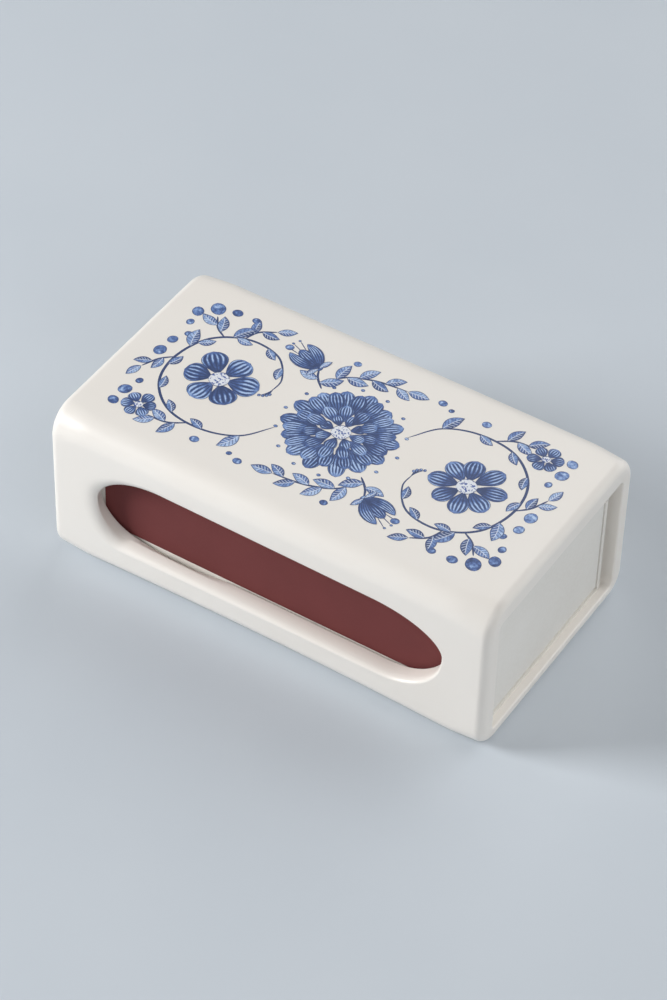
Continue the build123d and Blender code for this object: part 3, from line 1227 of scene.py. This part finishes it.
def match_tree():
    """Group that lays matches in leaning layers."""
    inputs = {"Object": ["Match"], "Material": ["Finish"], "Int": ["Per layer", "Layers", "Seed"],
              "Float": ["First x", "Pitch", "Tail y", "Floor", "Stick side", "Head side", "Gap",
                        "Reach", "Jitter"]}
    tree, given = new_group("match_pile", inputs, "Pile")

    def jitter(offset, size):
        """Random value up to `size` either way, another one for each match."""
        seed = add(tree, "ShaderNodeMath", (given["Seed"], offset), operation="ADD")
        links = {"Min": times(tree, size, -1.0), "Max": size, "Seed": seed}
        return add(tree, "FunctionNodeRandomValue", links, data_type="FLOAT")

    number = add(tree, "GeometryNodeInputIndex")
    layer = add(tree, "ShaderNodeMath", (number, given["Per layer"]), operation="DIVIDE")
    layer = add(tree, "ShaderNodeMath", (layer,), operation="FLOOR")
    below = times(tree, layer, given["Per layer"])
    column = add(tree, "ShaderNodeMath", (number, below), operation="SUBTRACT")

    def height(side):
        """Height of the middle of one end of each match over the floor of the tray."""
        step = add(tree, "ShaderNodeMath", (given[side], given["Gap"]), operation="ADD")
        half = times(tree, given[side], 0.5)
        return add(tree, "ShaderNodeMath", (step, layer, half), operation="MULTIPLY_ADD")

    tail, head = height("Stick side"), height("Head side")
    climb = add(tree, "ShaderNodeMath", (head, tail), operation="SUBTRACT")
    lean = add(tree, "ShaderNodeMath", (climb, given["Reach"]), operation="ARCTAN2")
    parts = (column, given["Pitch"], given["First x"])
    x = add(tree, "ShaderNodeMath", parts, operation="MULTIPLY_ADD")
    slips = (jitter(1, given["Jitter"]), jitter(2, times(tree, given["Jitter"], END_JITTER)), tail)
    place = [add(tree, "ShaderNodeMath", pair, operation="ADD")
             for pair in zip((x, given["Tail y"], given["Floor"]), slips)]
    place = add(tree, "ShaderNodeCombineXYZ", place)
    turn = (lean, jitter(3, ROLL_JITTER), jitter(4, TURN_JITTER))
    turn = add(tree, "ShaderNodeCombineXYZ", turn)
    count = times(tree, given["Per layer"], given["Layers"])
    points = add(tree, "GeometryNodePoints", {"Count": count, "Position": place})
    single = add(tree, "GeometryNodeObjectInfo", {"Object": given["Match"], "As Instance": True})
    single = single.node.outputs["Geometry"]
    links = {"Points": points, "Instance": single, "Rotation": turn}
    send_out(tree, add(tree, "GeometryNodeInstanceOnPoints", links), given["Finish"])
    return tree


# %% Wood and head paste
WOOD_ROUGHNESS = 0.6
WOOD_GRAIN_SIZE, WOOD_GRAIN_DEPTH = 0.5, 0.02
WOOD_GRAIN_STRETCH = (1.0, 0.05, 1.0)
BOARD_SIZE = 5.0
BOARD_STRETCH = (1.0, 0.1, 1.0)
BOARD_SHARE = 0.5
PASTE_ROUGHNESS = 0.7
PASTE_GRAIN_SIZE, PASTE_GRAIN_DEPTH = 0.4, 0.05


def wood_material():
    """Pale aspen: straight grain along the stick."""
    material, tree, shader, place = new_material("sawn aspen", Roughness=WOOD_ROUGHNESS)
    grain = blotches(tree, place, WOOD_GRAIN_SIZE, detail=4.0, stretch=WOOD_GRAIN_STRETCH)
    board = times(tree, blotches(tree, place, BOARD_SIZE, stretch=BOARD_STRETCH), BOARD_SHARE)
    tint = coats(tree, colour("#E6CFA4"), (grain, colour("#D2B383")), (board, colour("#F0DFC0")))
    surface(tree, shader, tint, grain, WOOD_GRAIN_DEPTH)
    return material


def head_material():
    """Dull dark red paste with a grain of ground glass."""
    material, tree, shader, place = new_material("match head paste", Roughness=PASTE_ROUGHNESS)
    grain = blotches(tree, place, PASTE_GRAIN_SIZE)
    tint = coats(tree, colour("#8E2A28"), (grain, colour("#742020")))
    surface(tree, shader, tint, grain, PASTE_GRAIN_DEPTH)
    return material


# %% Lay the pile
def lay_pile(name, mesh, tree, finish, nodes):
    """Piles copies of one mesh and lets them stand for the CAD layers."""
    single = bpy.data.objects.new(name + "_single", mesh)
    pile = put_in_scene(name, bpy.data.meshes.new(name))
    first_x = (TRAY_LOW.x + TRAY_HIGH.x) / 2 - MATCH_PITCH * (MATCHES_PER_LAYER - 1) / 2
    run_tree(pile, tree, match=single, finish=finish, per_layer=MATCHES_PER_LAYER, layers=LAYERS,
             seed=PILE_SEED, first_x=first_x, pitch=MATCH_PITCH, tail_y=TAIL_Y, floor=WELL_FLOOR,
             stick_side=STICK_SIDE, head_side=HEAD_SIDE, gap=LAYER_GAP,
             reach=MATCH_LENGTH - HEAD_LENGTH, jitter=JITTER)
    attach(pile, "tray")
    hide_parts(*nodes)
    print(name, len(pile.data.polygons), "faces")


pile_tree = match_tree()
for name, mesh, finish, slot in (
        ("match_sticks", stick_mesh(), wood_material(), "match_wood"),
        ("match_heads", head_mesh(), head_material(), "match_head")):
    nodes = [f"{name}_layer_{layer + 1}" for layer in range(LAYERS)]
    lay_pile(name, mesh, pile_tree, finish, nodes)
